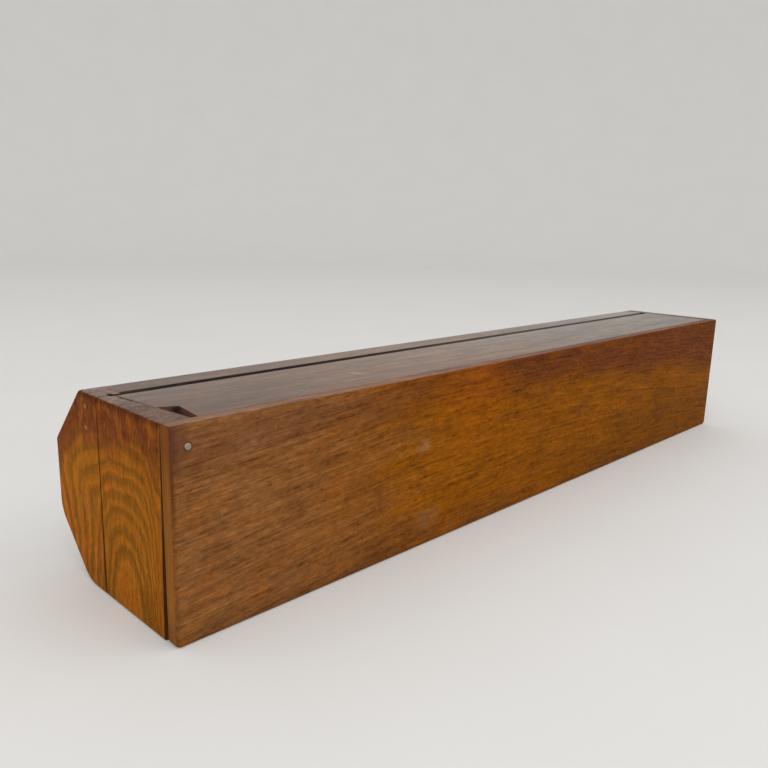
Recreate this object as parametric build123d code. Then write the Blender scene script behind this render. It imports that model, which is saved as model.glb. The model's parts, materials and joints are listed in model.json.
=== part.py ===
from build123d import *
import math
import os

# A slim pendulum metronome in a hardwood case of three leaves, lying on its right side.
# Frame: millimetres, +X from the base end to the head end, the front faces -Y, +Z is up.
# The origin is under the middle of the closed case. Standing on its base, the case has its
# left side where +Z is here. Depth is measured back from the front face of the cover.

# Case
case_length = 300.0
case_width = 53.5
end_thickness = 6.8
side_thickness = 5.0
cover_thickness = 3.4
cover_gap_left = 0.15
cover_gap_right = 2.0
rear_gap_left = 0.25
rear_gap_right = 1.0
rear_depth = 26.75
rear_chamfer = 16.2
stave_thickness = 5.0
edge_round = 0.9
cover_corner_round = 1.8
upper_bend_round = 2.2
lower_bend_round = 9.0
joint_front = 7.9
joint_back = 4.4
slit_width = 3.2
slit_inset = 10.2
runout_shallow = 0.4
runout_deep = 1.3
notch_length = 4.8
notch_front_length = 1.7
notch_depth = 13.0
notch_slant = 2.0
nick_from_base = 3.9
nick_length = 2.5
nick_width = 1.6
nick_depth = 2.0
board_inset = 9.0
groove_depth = 2.0
groove_gap = 0.1

# Swivel pin and its nut
pin_from_base = 4.8
pin_from_left = 5.35
pin_radius = 0.75
pin_head_radius = 0.95
pin_head_height = 0.9
pin_head_gap = 0.15
pin_proud = 0.25
pin_dome = 0.4
nut_radius = 1.8
nut_height = 2.0
nut_seat = 6.0
nut_end_gap = 0.1
nut_slot_width = 0.7
nut_slot_depth = 0.6

# Magnets that hold the leaves shut, and their keepers
magnet_radius = 2.5
magnet_height = 2.5
keeper_radius = 2.5
keeper_height = 1.2

# Fits
running_gap = 0.05
seat_gap = 0.02
end_shake = 0.2

# Pendulum
rod_above = 160.0
rod_below = 70.0
rod_width = 3.0
rod_thickness = 1.0
rod_notch = 0.35
bob_drop = 60.0
bob_radius = 12.0
bob_thickness = 7.0
bob_round = 1.4
bay_front_gap = 1.3
bay_back_gap = 0.75
hub_radius = 3.5
hub_height = 3.2
pendulum_arbor_radius = 1.25
pendulum_screw_radius = 0.7
pendulum_screw_depth = 3.0
pendulum_screw_head_radius = 1.6
pendulum_screw_head_height = 0.9

# Sliding weight and tempo scale
weight_middle = 75.0
weight_travel = 40.0
weight_length = 15.0
weight_wide = 12.0
weight_narrow = 9.0
weight_thickness = 6.4
weight_round = 0.6
slide_gap = 0.12
spring_length = 10.0
spring_width = 2.2
spring_thickness = 0.2
spring_pocket = 1.2
tempo_marks = [
    40, 42, 44, 46, 48, 50, 52, 54, 56, 58, 60, 63, 66, 69, 72, 76, 80, 84, 88, 92, 96, 100, 104, 108, 112,
    116, 120, 126, 132, 138, 144, 152, 160, 168, 176, 184, 192, 200, 208,
]
scale_width = 30.0
scale_thickness = 0.8
scale_overrun = 18.0
scale_pin_inset = 2.5
scale_pin_radius = 0.5
scale_pin_head_radius = 1.0
scale_pin_head_height = 0.3

# Movement frame
board_thickness = 2.5
plate_thickness = 1.2
plate_width = 38.0
plate_margin = 3.5
plate_tail = 10.0
plate_corner = 2.0
pillar_radius = 2.2
pillar_inset = 4.5
screw_radius = 1.0
screw_depth = 4.5
screw_head_radius = 1.9
screw_head_height = 1.1
screw_slot = 0.5
window_margin = 2.2

# Wheel train
base_to_barrel = 55.0
gear_module = 0.5
pressure_angle = math.radians(25.0)
root_depth = 1.25
backlash = 0.08
great_teeth = 60
pinion_teeth = 12
intermediate_teeth = 48
wheel_thickness = 1.1
wheel_end_gap = 0.9
pinion_overlap = 0.35
arbor_radius = 1.0
pivot_radius = 0.6
spoke_width = 1.6
rim_width = 2.2
spoke_hub_radius = 2.8

# Mainspring barrel and winding
barrel_radius = 13.0
barrel_wall = 1.0
barrel_floor = 0.8
barrel_height = 7.0
barrel_top_gap = 0.5
core_radius = 2.0
core_front_pivot = 1.2
core_back_pivot = 1.5
core_square = 2.1
mainspring_turns = 8
mainspring_thickness = 0.3
mainspring_gap = 0.1
ratchet_teeth = 24
ratchet_tip = 6.5
ratchet_root = 5.6
ratchet_thickness = 1.0
ratchet_gap = 0.2
click_gap = 0.1
click_reach = 12.0
click_slope = 0.47
click_width = 0.8
click_foot_length = 5.0
click_foot_width = 4.6
click_screw_radius = 0.7
click_screw_head_radius = 1.4
click_screw_head_height = 0.8
knob_radius = 9.0
knob_height = 3.0
knob_gap = 0.2
knob_ridges = 40
knob_ridge_depth = 0.4
knob_screw_radius = 0.6
knob_screw_depth = 2.0
knob_screw_head_radius = 2.0
knob_screw_head_height = 0.8
knob_back_gap = 0.3

# Escapement
escape_teeth = 15
escape_tip = 9.5
escape_root = 7.0
escape_lean = 0.06
escape_tip_angle = 0.04
escape_foot_angle = 0.26
anchor_clearance = 1.0
anchor_half_span = math.radians(30.0)
anchor_arm = 1.6
anchor_hub = 2.1
anchor_overlap = 0.2

# Places along X
base_x = -case_length / 2
head_x = case_length / 2
inner_base_x = base_x + end_thickness
inner_head_x = head_x - end_thickness
great_pitch = gear_module * great_teeth / 2
pinion_pitch = gear_module * pinion_teeth / 2
intermediate_pitch = gear_module * intermediate_teeth / 2
pallet_radius = escape_tip + anchor_clearance
anchor_distance = pallet_radius / math.cos(anchor_half_span)
barrel_x = base_x + base_to_barrel
intermediate_x = barrel_x + great_pitch + pinion_pitch
escape_x = intermediate_x + intermediate_pitch + pinion_pitch
pendulum_x = escape_x + anchor_distance
plate_start_x = barrel_x - great_pitch - gear_module - plate_margin
plate_end_x = pendulum_x + plate_tail
pin_x = base_x + pin_from_base
magnet_x = head_x - end_thickness / 2
weight_near = weight_middle - weight_travel
weight_far = weight_middle + weight_travel

# Places along Z
middle_z = case_width / 2
pin_z = case_width - pin_from_left
pillar_rise = plate_width / 2 - pillar_inset

# Depths behind the front face
body_front_left = cover_thickness + cover_gap_left
body_front_right = cover_thickness + cover_gap_right
rod_middle = body_front_left + bay_front_gap + bob_thickness / 2
rod_front = rod_middle - rod_thickness / 2
rod_back = rod_middle + rod_thickness / 2
board_front = rod_middle + bob_thickness / 2 + bay_back_gap + screw_head_height
board_back = board_front + board_thickness
front_plate_back = board_back + plate_thickness
great_front = front_plate_back + wheel_end_gap
great_back = great_front + wheel_thickness
barrel_back = great_back + barrel_height
intermediate_front = barrel_back + barrel_top_gap
intermediate_back = intermediate_front + wheel_thickness
back_plate_front = intermediate_back + wheel_end_gap
back_plate_back = back_plate_front + plate_thickness
ratchet_front = back_plate_back + ratchet_gap
ratchet_back = ratchet_front + ratchet_thickness
knob_front = ratchet_back + knob_gap
knob_back = knob_front + knob_height
body_back = knob_back + knob_back_gap
rear_front_left = body_back + rear_gap_left
rear_front_right = body_back + rear_gap_right
rear_back = rear_front_left + rear_depth
escape_front = great_back + wheel_end_gap
escape_back = escape_front + wheel_thickness
pin_seat = pin_head_height - pin_proud
front_y = (pin_proud - rear_back) / 2


def at_depth(depth):
    return front_y + depth


def block(x_start, x_end, depth_start, depth_end, z_start, z_end):
    """A square-cut block between two limits along each direction."""
    place = Pos((x_start + x_end) / 2, at_depth((depth_start + depth_end) / 2), (z_start + z_end) / 2)
    return place * Box(x_end - x_start, depth_end - depth_start, z_end - z_start)


def disc(x, z, depth_start, depth_end, radius):
    """A round bar along Y."""
    place = Pos(x, at_depth((depth_start + depth_end) / 2), z)
    return place * Rot(90, 0, 0) * Cylinder(radius, depth_end - depth_start)


def along_x(outline, x_start, x_end):
    """An outline in depth and Z, drawn out along X."""
    plane = Plane(origin=(x_start, front_y, 0), x_dir=(0, 1, 0), z_dir=(1, 0, 0))
    return extrude(plane * outline, amount=x_end - x_start, dir=plane.z_dir)


def along_y(outline, x, z, depth_start, depth_end):
    """An outline in X and Z about the point (x, z), drawn out along Y."""
    plane = Plane(origin=(x, at_depth(depth_end), z), x_dir=(1, 0, 0), z_dir=(0, -1, 0))
    return extrude(plane * outline, amount=depth_end - depth_start, dir=plane.z_dir)


def closed(points):
    return Polygon(*points, align=None)


def polar(radius, angle):
    return radius * math.cos(angle), radius * math.sin(angle)


def slotted_screw(x, z, seat, toward_back, shank, shank_length, head, head_height):
    """A cheese-head screw along Y whose head stands on the seat and whose shank goes the other way."""
    side = 1 if toward_back else -1
    head_top = seat + side * head_height
    shank_end = seat - side * shank_length
    slot_floor = head_top - side * min(screw_slot, head_height / 2)
    screw = disc(x, z, *sorted((seat, head_top)), head)
    screw += disc(x, z, *sorted((seat, shank_end)), shank)
    slot_depths = sorted((slot_floor, head_top))
    return screw - block(x - head, x + head, *slot_depths, z - screw_slot / 2, z + screw_slot / 2)


def joined(solids):
    """Separate solids as one group."""
    return Compound(children=list(solids))


# The wooden case


def front_cover():
    cover = block(base_x, head_x, 0, cover_thickness, 0, case_width)
    corners = cover.edges().filter_by(Axis.Y).sort_by(Axis.Z)
    cover = fillet(corners[:2], cover_corner_round)
    corners = cover.edges().filter_by(Axis.Y).sort_by(Axis.Z)
    cover = fillet(corners[-2:], edge_round)
    cover = fillet(cover.faces().sort_by(Axis.Y)[0].edges(), edge_round)
    cover -= disc(pin_x, pin_z, 0, cover_thickness, pin_radius + running_gap)
    cover -= disc(pin_x, pin_z, 0, pin_seat, pin_head_radius + pin_head_gap)
    keeper_front = cover_thickness - keeper_height
    return cover - disc(magnet_x, middle_z, keeper_front, cover_thickness, keeper_radius + seat_gap)


def body_end(x_start, x_end, outer_x):
    """An end block of the middle leaf. Its front edge runs back a little towards the right side."""
    outline = closed(
        [(body_front_right, 0), (body_back, 0), (body_back, case_width), (body_front_left, case_width)]
    )
    end = along_x(outline, x_start, x_end)
    outer = end.faces().filter_by(Axis.X).sort_by(Axis.X)[0 if outer_x < 0 else -1]
    return fillet(outer.edges().filter_by(Axis.Y), edge_round)


def nail_nick():
    """A small oval hollow in the left side of the base end, across the joint with the rear leaf."""
    middle = at_depth((body_back + rear_front_left) / 2)
    place = Pos(base_x + nick_from_base, middle, case_width - nick_depth) * Rot(0, 0, 90)
    return extrude(place * SlotOverall(nick_length, nick_width), amount=nick_depth, dir=(0, 0, 1))


def joint_x(depth):
    """Where the left wall meets the base block, which the joint crosses at a slant."""
    share = (depth - body_front_left) / (body_back - body_front_left)
    return base_x + joint_front + share * (joint_back - joint_front)


def beside_joint(far_x):
    """The left wall's layer of the middle leaf, from the slanting joint to a square end."""
    outline = closed(
        [
            (joint_x(body_front_left), at_depth(body_front_left)),
            (far_x, at_depth(body_front_left)),
            (far_x, at_depth(body_back)),
            (joint_x(body_back), at_depth(body_back)),
        ]
    )
    inner_z = case_width - side_thickness
    return extrude(Pos(0, 0, inner_z) * outline, amount=side_thickness, dir=(0, 0, 1))


def pin_bore():
    return disc(pin_x, pin_z, 0, rear_back, pin_radius + seat_gap)


def base_block():
    end = block(base_x, inner_base_x, 0, body_back, 0, case_width - side_thickness)
    end += beside_joint(base_x)
    end &= body_end(base_x, base_x + max(joint_front, end_thickness), base_x)
    return end - nail_nick() - pin_bore()


def head_block():
    end = body_end(inner_head_x, head_x, head_x)
    end -= disc(magnet_x, middle_z, 0, body_front_right + magnet_height, magnet_radius + seat_gap)
    return end - disc(magnet_x, middle_z, body_back - magnet_height, body_back, magnet_radius + seat_gap)


def board_groove(z_inner, z_outer):
    """The groove in a long wall of the middle leaf that holds the dial board."""
    groove_end = z_inner + math.copysign(groove_depth, z_outer - z_inner)
    groove_low, groove_high = sorted((z_inner, groove_end))
    groove_depths = (board_front - groove_gap, board_back + groove_gap)
    return block(inner_base_x + board_inset, inner_head_x, *groove_depths, groove_low, groove_high)


def slit_relief():
    """The cut along the left side that leaves a long slit between the middle and the rear leaf.

    It goes through the walls, and runs out to a shallow groove towards the base block.
    """
    relief = (slit_width - rear_gap_left) / 2
    floor = case_width - max(side_thickness, stave_thickness)
    outline = closed(
        [
            (base_x + joint_back, case_width),
            (base_x + joint_back, case_width - runout_shallow),
            (base_x + slit_inset, case_width - runout_deep),
            (base_x + slit_inset, floor),
            (inner_head_x, floor),
            (inner_head_x, case_width),
        ]
    )
    return along_y(outline, 0, 0, body_back - relief, rear_front_left + relief)


def left_side_wall():
    inner_z = case_width - side_thickness
    wall = beside_joint(inner_head_x) - board_groove(inner_z, case_width) - slit_relief()
    wall -= nail_nick() + pin_bore()
    notch_back = body_front_left + notch_depth
    notch = closed(
        [
            (joint_x(body_front_left), at_depth(body_front_left)),
            (joint_x(body_front_left) + notch_front_length, at_depth(body_front_left)),
            (joint_x(notch_back) + notch_length, at_depth(notch_back - notch_slant)),
            (joint_x(notch_back), at_depth(notch_back)),
        ]
    )
    return wall - extrude(Pos(0, 0, inner_z) * notch, amount=side_thickness, dir=(0, 0, 1))


def right_side_wall():
    wall = block(inner_base_x, inner_head_x, body_front_right, body_back, 0, side_thickness)
    return wall - board_groove(side_thickness, 0)


def dial_board():
    low = side_thickness - groove_depth + groove_gap
    high = case_width - low
    board = block(inner_base_x + board_inset, inner_head_x, board_front, board_back, low, high)
    board -= disc(pendulum_x, middle_z, board_front, board_back, hub_radius)
    for x, z in pillar_places():
        board -= disc(x, z, board_front, board_back, screw_radius + seat_gap)
    for x, z in scale_pin_places():
        board -= disc(x, z, board_front, board_back, scale_pin_radius + seat_gap)
    return board


# The rear leaf: a half octagon of glued staves between two end boards


def rear_corners(inset):
    """The six corners of the half octagon in depth and Z, set in from its outside by a wall."""
    mitre = inset * (math.sqrt(2) - 1)
    return [
        (rear_front_left, case_width - inset),
        (rear_back - rear_chamfer - mitre, case_width - inset),
        (rear_back - inset, case_width - rear_chamfer - mitre),
        (rear_back - inset, rear_chamfer + mitre),
        (rear_back - rear_chamfer - mitre, inset),
        (rear_front_right, inset),
    ]


def rear_outline():
    """The half octagon, worn rounder on the right, where it lies on a table."""
    outline = closed(rear_corners(0))
    bends = outline.vertices().sort_by(Axis.X)[2:]
    outline = fillet([bend for bend in bends if bend.Y < middle_z], lower_bend_round)
    bends = outline.vertices().sort_by(Axis.X)[2:]
    return fillet([bend for bend in bends if bend.Y > middle_z], upper_bend_round)


def rear_end(x_start, x_end, outer_x):
    end = along_x(rear_outline(), x_start, x_end)
    outer = end.faces().filter_by(Axis.X).sort_by(Axis.X)[0 if outer_x < 0 else -1]
    shell_edges = [edge for edge in outer.edges() if edge.center().Y > at_depth(rear_front_right)]
    return fillet(shell_edges, edge_round)


def rear_base_end():
    end = rear_end(base_x, inner_base_x, base_x) - nail_nick()
    seat = rear_front_left + nut_seat
    end -= disc(pin_x, pin_z, 0, seat, pin_radius + running_gap)
    return end - disc(pin_x, pin_z, seat, rear_back, nut_radius + running_gap)


def rear_head_end():
    end = rear_end(inner_head_x, head_x, head_x)
    return end - disc(magnet_x, middle_z, 0, rear_front_right + keeper_height, keeper_radius + seat_gap)


def rear_stave(corner):
    """One stave, from one corner of the half octagon to the next, mitred at the corners."""
    outer = rear_corners(0)
    inner = rear_corners(stave_thickness)
    section = closed([outer[corner], outer[corner + 1], inner[corner + 1], inner[corner]])
    wedge = along_x(section, inner_base_x, inner_head_x)
    return wedge & along_x(rear_outline(), inner_base_x, inner_head_x)


def rear_left_stave():
    return rear_stave(0) - slit_relief()


# Swivel pin, magnets and keepers


def nut_front():
    return rear_front_left + nut_seat + nut_end_gap


def pivot_pin():
    head = disc(pin_x, pin_z, -pin_proud, pin_seat, pin_head_radius)
    head = fillet(head.edges().sort_by(Axis.Y)[0], pin_dome)
    shank_end = nut_front() + nut_height - nut_slot_depth
    return head + disc(pin_x, pin_z, pin_seat, shank_end, pin_radius)


def pivot_nut():
    front = nut_front()
    nut = disc(pin_x, pin_z, front, front + nut_height, nut_radius)
    nut -= disc(pin_x, pin_z, front, front + nut_height, pin_radius + seat_gap)
    return nut - block(
        pin_x - nut_radius,
        pin_x + nut_radius,
        front + nut_height - nut_slot_depth,
        front + nut_height,
        pin_z - nut_slot_width / 2,
        pin_z + nut_slot_width / 2,
    )


def catch_magnets():
    front = disc(magnet_x, middle_z, body_front_right, body_front_right + magnet_height, magnet_radius)
    back = disc(magnet_x, middle_z, body_back - magnet_height, body_back, magnet_radius)
    return joined([front, back])


def cover_keeper():
    return disc(magnet_x, middle_z, cover_thickness - keeper_height, cover_thickness, keeper_radius)


def rear_keeper():
    return disc(magnet_x, middle_z, rear_front_right, rear_front_right + keeper_height, keeper_radius)


# Tempo scale


def tempo_radius(tempo):
    """How far above the pendulum's axis the weight sits for a tempo."""
    share = math.log(tempo / tempo_marks[0]) / math.log(tempo_marks[-1] / tempo_marks[0])
    return weight_far - share * (weight_far - weight_near)


def scale_ends():
    return pendulum_x + weight_near - scale_overrun, pendulum_x + weight_far + scale_overrun


def scale_pin_places():
    start, end = scale_ends()
    rise = scale_width / 2 - scale_pin_inset
    columns = (start + scale_pin_inset, end - scale_pin_inset)
    return [(x, middle_z + side * rise) for x in columns for side in (-1, 1)]


def tempo_scale():
    start, end = scale_ends()
    low = middle_z - scale_width / 2
    scale = block(start, end, board_front - scale_thickness, board_front, low, low + scale_width)
    for x, z in scale_pin_places():
        scale -= disc(x, z, board_front - scale_thickness, board_front, scale_pin_radius + seat_gap)
    return scale


def scale_pins():
    seat = board_front - scale_thickness
    pins = []
    for x, z in scale_pin_places():
        head = disc(x, z, seat - scale_pin_head_height, seat, scale_pin_head_radius)
        pins.append(head + disc(x, z, seat, board_back, scale_pin_radius))
    return joined(pins)


# Movement frame


def pillar_places():
    columns = (plate_start_x + pillar_inset, plate_end_x - pillar_inset)
    return [(x, middle_z + side * pillar_rise) for x in columns for side in (-1, 1)]


def movement_plate(depth_start, depth_end):
    low = middle_z - plate_width / 2
    plate = block(plate_start_x, plate_end_x, depth_start, depth_end, low, low + plate_width)
    plate = fillet(plate.edges().filter_by(Axis.Y), plate_corner)
    for x, z in pillar_places():
        plate -= disc(x, z, depth_start, depth_end, screw_radius + seat_gap)
    for x in (intermediate_x, escape_x):
        plate -= disc(x, middle_z, depth_start, depth_end, pivot_radius + running_gap)
    return plate


def front_plate():
    plate = movement_plate(board_back, front_plate_back)
    plate -= disc(barrel_x, middle_z, board_back, front_plate_back, core_front_pivot + running_gap)
    bearing = pendulum_arbor_radius + running_gap
    return plate - disc(pendulum_x, middle_z, board_back, front_plate_back, bearing)


def back_plate():
    plate = movement_plate(back_plate_front, back_plate_back)
    plate -= disc(barrel_x, middle_z, back_plate_front, back_plate_back, core_back_pivot + running_gap)
    plate -= disc(pendulum_x, middle_z, back_plate_front, back_plate_back, pivot_radius + running_gap)
    click_x, click_z = click_screw_place()
    plate -= disc(click_x, click_z, back_plate_front, back_plate_back, click_screw_radius + seat_gap)
    window_start = intermediate_x + spoke_hub_radius
    window_end = pendulum_x - window_margin
    strap = spoke_hub_radius
    for side in (-1, 1):
        low, high = sorted((middle_z + side * strap, middle_z + side * (pillar_rise - pillar_inset)))
        window = block(window_start, window_end, back_plate_front, back_plate_back, low, high)
        plate -= fillet(window.edges().filter_by(Axis.Y), window_margin)
    return plate


def pillars():
    posts = []
    for x, z in pillar_places():
        post = disc(x, z, front_plate_back, back_plate_front, pillar_radius)
        posts.append(post - disc(x, z, front_plate_back, back_plate_front, screw_radius + seat_gap))
    return joined(posts)


def board_screws():
    length = board_thickness + plate_thickness + screw_depth
    head = (screw_head_radius, screw_head_height)
    return joined(
        slotted_screw(x, z, board_front, False, screw_radius, length, *head) for x, z in pillar_places()
    )


def plate_screws():
    length = plate_thickness + screw_depth
    head = (screw_head_radius, screw_head_height)
    return joined(
        slotted_screw(x, z, back_plate_back, True, screw_radius, length, *head) for x, z in pillar_places()
    )


# Wheel train


def involute(angle):
    return math.tan(angle) - angle


def gear_outline(teeth, turn):
    """A spur gear with straight-cut flanks between its root, pitch and tip circles."""
    pitch = gear_module * teeth / 2
    base = pitch * math.cos(pressure_angle)
    root = pitch - root_depth * gear_module
    tip = pitch + gear_module
    half_tooth = (math.pi * gear_module / 2 - backlash) / (2 * pitch)

    def half_angle(radius):
        slope = math.acos(min(1, base / radius))
        return half_tooth + involute(pressure_angle) - involute(slope)

    points = []
    for tooth in range(teeth):
        middle = turn + 2 * math.pi * tooth / teeth
        rising = [polar(radius, middle - half_angle(radius)) for radius in (root, pitch, tip)]
        falling = [polar(radius, middle + half_angle(radius)) for radius in (tip, pitch, root)]
        points += rising + falling
    return closed(points)


def spokes(outer):
    """The four openings between the spokes of a wheel."""
    ring = Circle(outer) - Circle(spoke_hub_radius)
    return ring - Rectangle(2 * outer, spoke_width) - Rectangle(spoke_width, 2 * outer)


def great_wheel():
    wheel = along_y(gear_outline(great_teeth, 0), barrel_x, middle_z, great_front, great_back)
    return wheel - disc(barrel_x, middle_z, great_front, great_back, core_radius + running_gap)


def pinion_arbor(x, mesh_front, mesh_back):
    """A steel arbor with its pinion cut on it and a pivot at each end."""
    shoulder_front = front_plate_back + end_shake
    shoulder_back = back_plate_front - end_shake
    pinion = gear_outline(pinion_teeth, math.pi / pinion_teeth)
    arbor = disc(x, middle_z, shoulder_front, shoulder_back, arbor_radius)
    arbor += disc(x, middle_z, board_back + end_shake, back_plate_back, pivot_radius)
    return arbor + along_y(pinion, x, middle_z, mesh_front - pinion_overlap, mesh_back + pinion_overlap)


def intermediate_pinion():
    return pinion_arbor(intermediate_x, great_front, great_back)


def intermediate_wheel():
    outline = gear_outline(intermediate_teeth, 0) - spokes(intermediate_pitch - rim_width)
    wheel = along_y(outline, intermediate_x, middle_z, intermediate_front, intermediate_back)
    bore = arbor_radius + seat_gap
    return wheel - disc(intermediate_x, middle_z, intermediate_front, intermediate_back, bore)


def escape_pinion():
    return pinion_arbor(escape_x, intermediate_front, intermediate_back)


def escape_wheel():
    points = []
    for tooth in range(escape_teeth):
        start = 2 * math.pi * tooth / escape_teeth
        points.append(polar(escape_root, start))
        points.append(polar(escape_tip, start + escape_lean))
        points.append(polar(escape_tip, start + escape_lean + escape_tip_angle))
        points.append(polar(escape_root, start + escape_foot_angle))
    outline = closed(points) - spokes(escape_root - rim_width / 2)
    wheel = along_y(outline, escape_x, middle_z, escape_front, escape_back)
    return wheel - disc(escape_x, middle_z, escape_front, escape_back, arbor_radius + seat_gap)


# Mainspring barrel and winding


def mainspring_barrel():
    drum = disc(barrel_x, middle_z, great_back, barrel_back, barrel_radius)
    drum -= disc(barrel_x, middle_z, great_back + barrel_floor, barrel_back, barrel_radius - barrel_wall)
    return drum - disc(barrel_x, middle_z, great_back, barrel_back, core_radius + running_gap)


def barrel_cap():
    front = barrel_back - barrel_floor
    cap = disc(barrel_x, middle_z, front, barrel_back, barrel_radius - barrel_wall - seat_gap)
    return cap - disc(barrel_x, middle_z, front, barrel_back, core_radius + running_gap)


def mainspring():
    """A spiral of half circles whose centres stand by turns on each side of the arbor."""
    half_turns = 2 * mainspring_turns
    step = mainspring_thickness + mainspring_gap
    offset = step / 4
    outermost = barrel_radius - barrel_wall - mainspring_gap - mainspring_thickness / 2 - offset
    first = outermost - (half_turns - 1) * step / 2

    def edge_line(side):
        arcs = []
        for turn in range(half_turns):
            centre = (offset if turn % 2 else -offset, 0)
            radius = first + turn * step / 2 + side * mainspring_thickness / 2
            arcs.append(CenterArc(centre, radius, 180 * (turn % 2), 180))
        return arcs

    inside = edge_line(-1)
    outside = edge_line(1)
    ends = [Line(inside[0] @ 0, outside[0] @ 0), Line(inside[-1] @ 1, outside[-1] @ 1)]
    ribbon = make_face(inside + outside + ends)
    front = great_back + barrel_floor + mainspring_gap
    back = barrel_back - barrel_floor - mainspring_gap
    return along_y(ribbon, barrel_x, middle_z, front, back)


def square_bar(size, depth_start, depth_end):
    half = size / 2
    return block(barrel_x - half, barrel_x + half, depth_start, depth_end, middle_z - half, middle_z + half)


def winding_arbor():
    square_end = knob_back - knob_screw_head_height - running_gap
    core_depths = (front_plate_back + end_shake, back_plate_front - end_shake)
    arbor = disc(barrel_x, middle_z, *core_depths, core_radius)
    arbor += disc(barrel_x, middle_z, board_back + end_shake, back_plate_front, core_front_pivot)
    arbor += disc(barrel_x, middle_z, great_back, back_plate_back + end_shake / 2, core_back_pivot)
    arbor += square_bar(core_square, back_plate_back, square_end)
    thread_start = knob_back - knob_screw_head_height - knob_screw_depth
    return arbor - disc(barrel_x, middle_z, thread_start, square_end, knob_screw_radius + seat_gap)


def ratchet_wheel():
    points = []
    for tooth in range(ratchet_teeth):
        start = 2 * math.pi * tooth / ratchet_teeth
        points += [polar(ratchet_root, start), polar(ratchet_tip, start)]
    wheel = along_y(closed(points), barrel_x, middle_z, ratchet_front, ratchet_back)
    return wheel - square_bar(core_square + 2 * seat_gap, ratchet_front, ratchet_back)


def winding_knob():
    points = []
    for ridge in range(2 * knob_ridges):
        radius = knob_radius - knob_ridge_depth * (ridge % 2)
        points.append(polar(radius, math.pi * ridge / knob_ridges))
    knob = along_y(closed(points), barrel_x, middle_z, knob_front, knob_back)
    knob -= square_bar(core_square + 2 * seat_gap, knob_front, knob_back)
    recess = knob_back - knob_screw_head_height
    return knob - disc(barrel_x, middle_z, recess, knob_back, knob_screw_head_radius + seat_gap)


def knob_screw():
    seat = knob_back - knob_screw_head_height
    head = (knob_screw_head_radius, knob_screw_head_height)
    return slotted_screw(barrel_x, middle_z, seat, True, knob_screw_radius, knob_screw_depth, *head)


def click_rise(reach):
    """How far the underside of the click stands from the barrel's axis along its length."""
    return ratchet_root + 2 * click_gap + click_slope * (reach - click_gap)


def click_screw_place():
    x = barrel_x + click_reach + click_foot_length / 2
    return x, middle_z + click_rise(click_reach) + click_width / 2


def click_leaf():
    """A spring leaf whose tip stands against a ratchet tooth and gives as the ratchet is wound."""
    leaf_end = click_reach + click_foot_length / 2
    leaf = closed(
        [
            (click_gap, click_rise(click_gap)),
            (leaf_end, click_rise(leaf_end)),
            (leaf_end, click_rise(leaf_end) + click_width),
            (click_gap, click_rise(click_gap) + click_width),
        ]
    )
    foot_x, foot_z = click_screw_place()
    foot_start = foot_x - click_foot_length / 2
    foot_low = foot_z - click_foot_width / 2
    click = along_y(leaf, barrel_x, middle_z, ratchet_front, ratchet_back)
    click += block(
        foot_start,
        foot_start + click_foot_length,
        back_plate_back,
        ratchet_back,
        foot_low,
        foot_low + click_foot_width,
    )
    return click - disc(foot_x, foot_z, back_plate_back, ratchet_back, click_screw_radius + seat_gap)


def click_screw():
    x, z = click_screw_place()
    length = ratchet_back - back_plate_front
    head = (click_screw_head_radius, click_screw_head_height)
    return slotted_screw(x, z, ratchet_back, True, click_screw_radius, length, *head)


# Pendulum and escapement anchor


def pendulum_arbor():
    arbor = disc(pendulum_x, middle_z, rod_back, back_plate_front - end_shake, pendulum_arbor_radius)
    arbor += disc(pendulum_x, middle_z, rod_back + hub_height, back_plate_back, pivot_radius)
    return arbor - disc(
        pendulum_x, middle_z, rod_back, rod_back + pendulum_screw_depth, pendulum_screw_radius + seat_gap
    )


def anchor():
    """Two arms that reach round the escape wheel, kept just clear of its tips over the whole swing."""
    front = escape_front - anchor_overlap
    back = escape_back + anchor_overlap
    pallets = disc(pendulum_x, middle_z, front, back, anchor_hub)
    for side in (-1, 1):
        out_x, out_z = polar(1, side * anchor_half_span)
        tip = (pallet_radius * out_x - anchor_distance, pallet_radius * out_z)
        back_of_hub = (anchor_arm * out_x, anchor_arm * out_z)
        back_of_tip = (tip[0] + back_of_hub[0], tip[1] + back_of_hub[1])
        arm = closed([(0, 0), tip, back_of_tip, back_of_hub])
        pallets += along_y(arm, pendulum_x, middle_z, front, back)
    return pallets - disc(pendulum_x, middle_z, front, back, pendulum_arbor_radius + seat_gap)


def pendulum_hub():
    hub_back = rod_back + hub_height
    hub = disc(pendulum_x, middle_z, rod_back, hub_back, hub_radius)
    return hub - disc(pendulum_x, middle_z, rod_back, hub_back, pendulum_arbor_radius + seat_gap)


def pendulum_rod():
    """A flat rod with a small notch in one edge for each marked tempo."""
    half = rod_width / 2
    notched = []
    for tempo in tempo_marks:
        radius = tempo_radius(tempo)
        notched += [(radius + rod_notch, half), (radius, half - rod_notch), (radius - rod_notch, half)]
    plain = [(-rod_below, half), (-rod_below, -half), (rod_above, -half), (rod_above, half)]
    outline = closed(plain + notched)
    rod = along_y(outline, pendulum_x, middle_z, rod_front, rod_back)
    return rod - disc(pendulum_x, middle_z, rod_front, rod_back, pendulum_screw_radius + seat_gap)


def pendulum_screw():
    length = rod_thickness + pendulum_screw_depth
    head = (pendulum_screw_head_radius, pendulum_screw_head_height)
    return slotted_screw(pendulum_x, middle_z, rod_front, False, pendulum_screw_radius, length, *head)


def pendulum_bob():
    x = pendulum_x - bob_drop
    front = rod_middle - bob_thickness / 2
    bob = disc(x, middle_z, front, front + bob_thickness, bob_radius)
    bob = fillet(bob.edges(), bob_round)
    slot_depths = (rod_front - seat_gap, rod_back + seat_gap)
    half = rod_width / 2 + seat_gap
    return bob - block(x - bob_radius, x + bob_radius, *slot_depths, middle_z - half, middle_z + half)


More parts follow.
